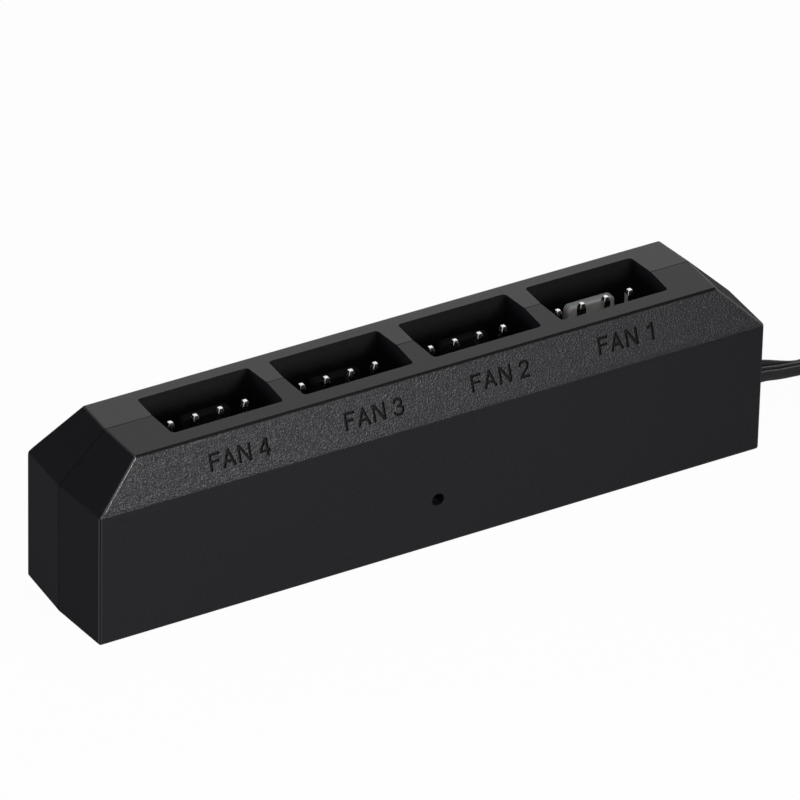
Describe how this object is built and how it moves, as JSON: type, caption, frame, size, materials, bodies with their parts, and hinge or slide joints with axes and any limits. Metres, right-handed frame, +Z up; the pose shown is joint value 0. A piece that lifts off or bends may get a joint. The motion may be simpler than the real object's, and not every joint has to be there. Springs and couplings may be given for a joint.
{
  "type": "pc fan controller hub",
  "caption": "Slim bar-shaped fan hub: a split black housing with sloped upper edges, keyed pin headers in wells along its top, an indicator window and a wired lead with a plug.",
  "frame": {"origin": "middle of the bottom face, on the seam between the half shells", "axes": "+X along the bar towards its lead, +Y from the front face to the rear, +Z up"},
  "size_m": [0.1358, 0.024, 0.0177],
  "materials": {
    "housing": "fine spark-eroded grain",
    "header_natural": "natural moulded nylon",
    "header_black": "smooth moulded",
    "tinned_pin": "tin plated",
    "board": "solder resist",
    "solder": "bright solder",
    "lamp": "clear lens",
    "chip": "ceramic chip",
    "insulation": "satin wire insulation",
    "copper": "tinned strands",
    "tie": "satin",
    "plug": "smooth moulded",
    "terminal": "tin plated"
  },
  "bodies": {
    "root": {"front_shell": "housing", "rear_shell": "housing", "circuit_board": "board", "header_solder_joints": "solder", "indicator_led": "lamp", "led_resistor": "chip", "lead_wire_ends": "insulation", "lead_wire_cores": "copper", "lead_solder_joints": "solder", "lead": "insulation", "lead_tail": "insulation", "lead_hank": "insulation", "lead_tie": "tie", "lead_plug": "plug", "lead_terminals": "terminal", "fan_header_1": "header_natural", "fan_header_1_pins": "tinned_pin", "fan_header_2": "header_black", "fan_header_2_pins": "tinned_pin", "fan_header_3": "header_black", "fan_header_3_pins": "tinned_pin", "fan_header_4": "header_black", "fan_header_4_pins": "tinned_pin"}
  },
  "joints": []
}
